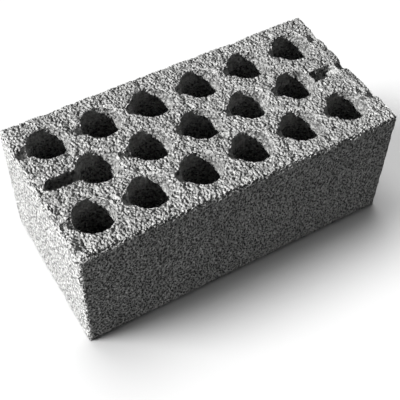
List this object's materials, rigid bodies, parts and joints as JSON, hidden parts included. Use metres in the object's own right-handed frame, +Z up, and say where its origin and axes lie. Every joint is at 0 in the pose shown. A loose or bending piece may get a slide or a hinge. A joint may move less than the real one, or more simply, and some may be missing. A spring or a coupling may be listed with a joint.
{
  "type": "hollow concrete brick",
  "caption": "Rectangular grey porous concrete brick with staggered rows of round through holes, laid in mortar to build walls.",
  "frame": {"origin": "centre of the underside", "axes": "+X along the length, +Y across the width towards the back long face, +Z up through the holes to the face with the bar marks"},
  "size_m": [0.25, 0.125, 0.1],
  "materials": {
    "concrete": "rough, open-textured cement grey"
  },
  "bodies": {
    "root": {"brick": "concrete"}
  },
  "joints": []
}
